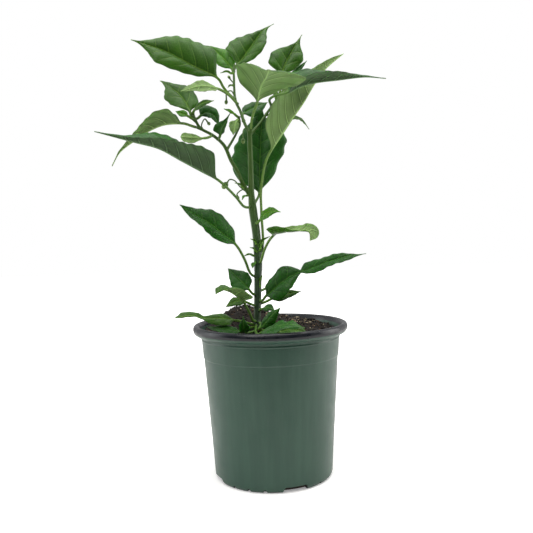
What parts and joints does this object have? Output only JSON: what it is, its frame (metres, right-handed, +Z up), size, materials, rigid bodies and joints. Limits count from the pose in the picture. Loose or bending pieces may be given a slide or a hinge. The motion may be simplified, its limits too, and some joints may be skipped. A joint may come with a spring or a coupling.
{
  "type": "potted pepper plant",
  "caption": "A young pepper plant with glossy green leaves and small flower buds, growing in soil in a green plastic nursery pot with a dark rolled rim",
  "frame": {"origin": "centre of the flat round underside of the pot, on the surface that the pot stands on", "axes": "+Z up along the pot's axis and the trunk, +X to the right seen from the front, +Y away from the front"},
  "size_m": [0.2912, 0.1946, 0.4844],
  "materials": {
    "green_plastic": "satin",
    "potting_soil": "matte",
    "stem_green": "satin",
    "leaf_green": "satin"
  },
  "bodies": {
    "root": {"pot": "green_plastic", "soil": "potting_soil", "stem": "stem_green", "leaf_back_broad": "leaf_green", "leaf_base_dark": "leaf_green", "leaf_base_glossy": "leaf_green", "leaf_base_left_flat": "leaf_green", "leaf_base_left_long": "leaf_green", "leaf_base_right_pale": "leaf_green", "leaf_base_right_wavy": "leaf_green", "leaf_base_upright": "leaf_green", "leaf_branch_dark": "leaf_green", "leaf_fork_back": "leaf_green", "leaf_front_high": "leaf_green", "leaf_left_drooping": "leaf_green", "leaf_left_long": "leaf_green", "leaf_left_narrow": "leaf_green", "leaf_left_pale": "leaf_green", "leaf_left_round": "leaf_green", "leaf_left_tiny": "leaf_green", "leaf_left_upright": "leaf_green", "leaf_low_left_curled": "leaf_green", "leaf_low_left_dark": "leaf_green", "leaf_low_left_tip": "leaf_green", "leaf_low_right_broad": "leaf_green", "leaf_low_right_long": "leaf_green", "leaf_low_right_thin": "leaf_green", "leaf_middle_bright": "leaf_green", "leaf_middle_left": "leaf_green", "leaf_middle_right_curled": "leaf_green", "leaf_right_back": "leaf_green", "leaf_right_long": "leaf_green", "leaf_right_rising": "leaf_green", "leaf_side_pale": "leaf_green", "leaf_side_tiny": "leaf_green", "leaf_top_centre": "leaf_green", "leaf_top_left": "leaf_green", "leaf_top_left_small": "leaf_green", "leaf_top_right": "leaf_green", "leaf_top_right_back": "leaf_green", "leaf_top_young": "leaf_green"}
  },
  "joints": []
}
